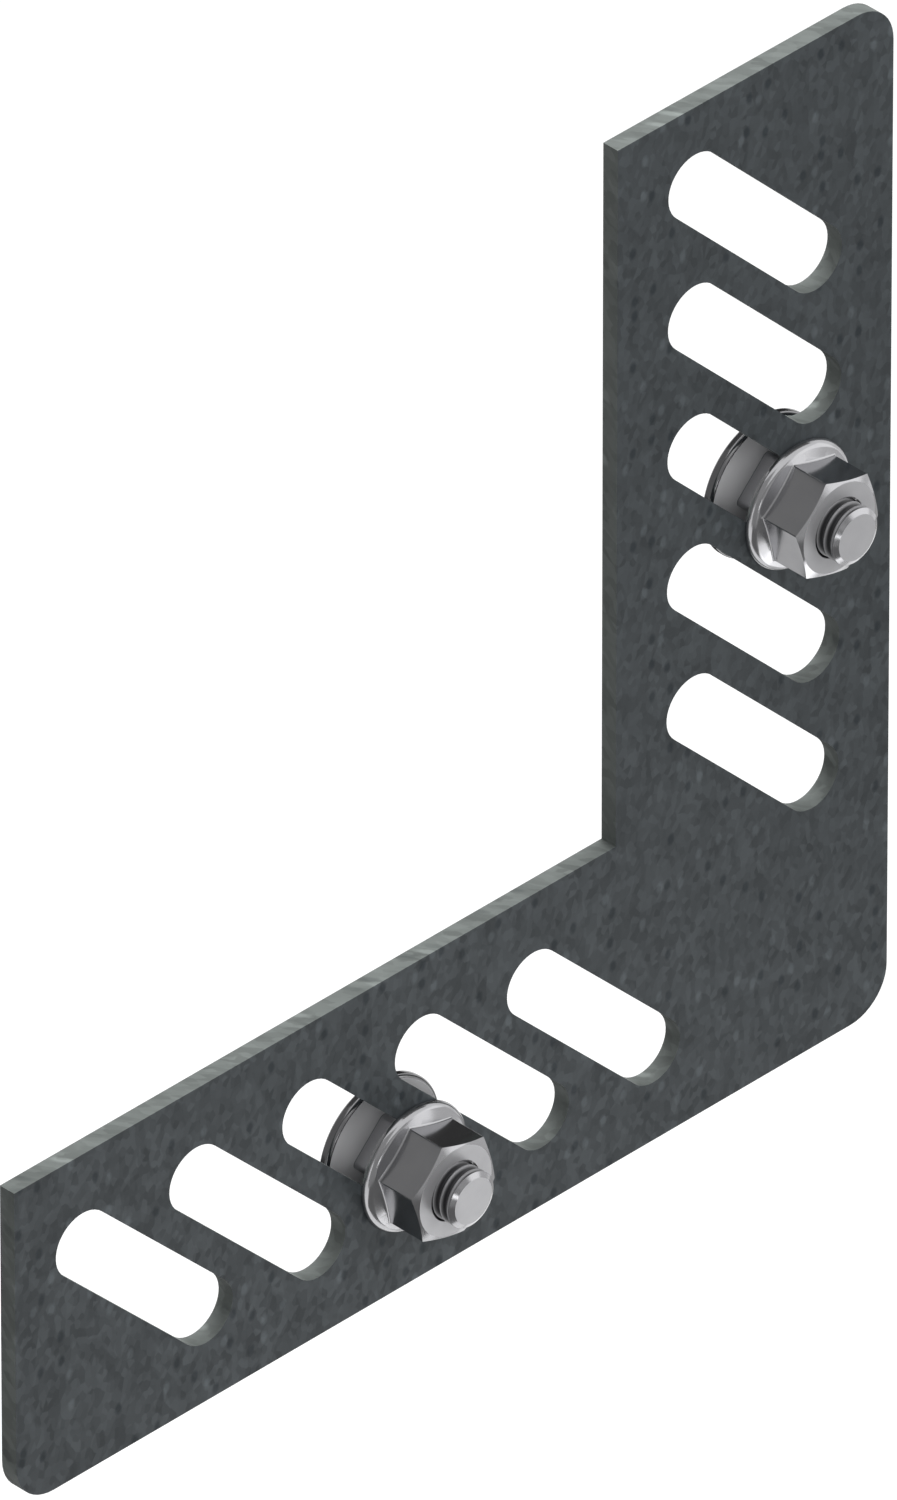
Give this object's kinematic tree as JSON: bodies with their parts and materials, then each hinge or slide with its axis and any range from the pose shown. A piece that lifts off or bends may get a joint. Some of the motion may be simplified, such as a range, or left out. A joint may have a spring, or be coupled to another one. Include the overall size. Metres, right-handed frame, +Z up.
{
  "type": "strut angle fitting",
  "caption": "Flat right-angle plate with slanted slots along both arms, and a square-neck bolt with a flange nut waiting in each arm, for joining strut channel in one plane.",
  "frame": {"origin": "where the centre lines of the two arms cross, on the plate's back face", "axes": "+Z up along the upright arm, -X out along the level arm, +Y out of the back face to the strut"},
  "size_m": [0.152, 0.0205, 0.152],
  "materials": {
    "galvanised_plate": "hot-dip galvanised, dark grey with fine spangle",
    "plated_bolt": "bright plated, satin",
    "plated_nut": "bright plated, satin"
  },
  "bodies": {
    "plate": {"angle_plate": "galvanised_plate"},
    "upper_bolt": {"upper_bolt": "plated_bolt"},
    "upper_nut": {"upper_nut": "plated_nut"},
    "lower_bolt": {"lower_bolt": "plated_bolt"},
    "lower_nut": {"lower_nut": "plated_nut"}
  },
  "joints": [
    {"name": "upper_bolt_slide", "type": "slide", "parent": "plate", "child": "upper_bolt", "axis": [0.7071, 0, -0.7071], "range_m": [-0.0216, 0.002]},
    {"name": "upper_nut_turn", "type": "hinge", "parent": "upper_bolt", "child": "upper_nut", "pos_m": [0.00738, -0.0025, 0.06029], "axis": [0, -1, 0], "continuous": true},
    {"name": "lower_bolt_slide", "type": "slide", "parent": "plate", "child": "lower_bolt", "axis": [0.7071, 0, -0.7071], "range_m": [-0.0216, 0.002]},
    {"name": "lower_nut_turn", "type": "hinge", "parent": "lower_bolt", "child": "lower_nut", "pos_m": [-0.05942, -0.0025, -0.00651], "axis": [0, -1, 0], "continuous": true}
  ]
}
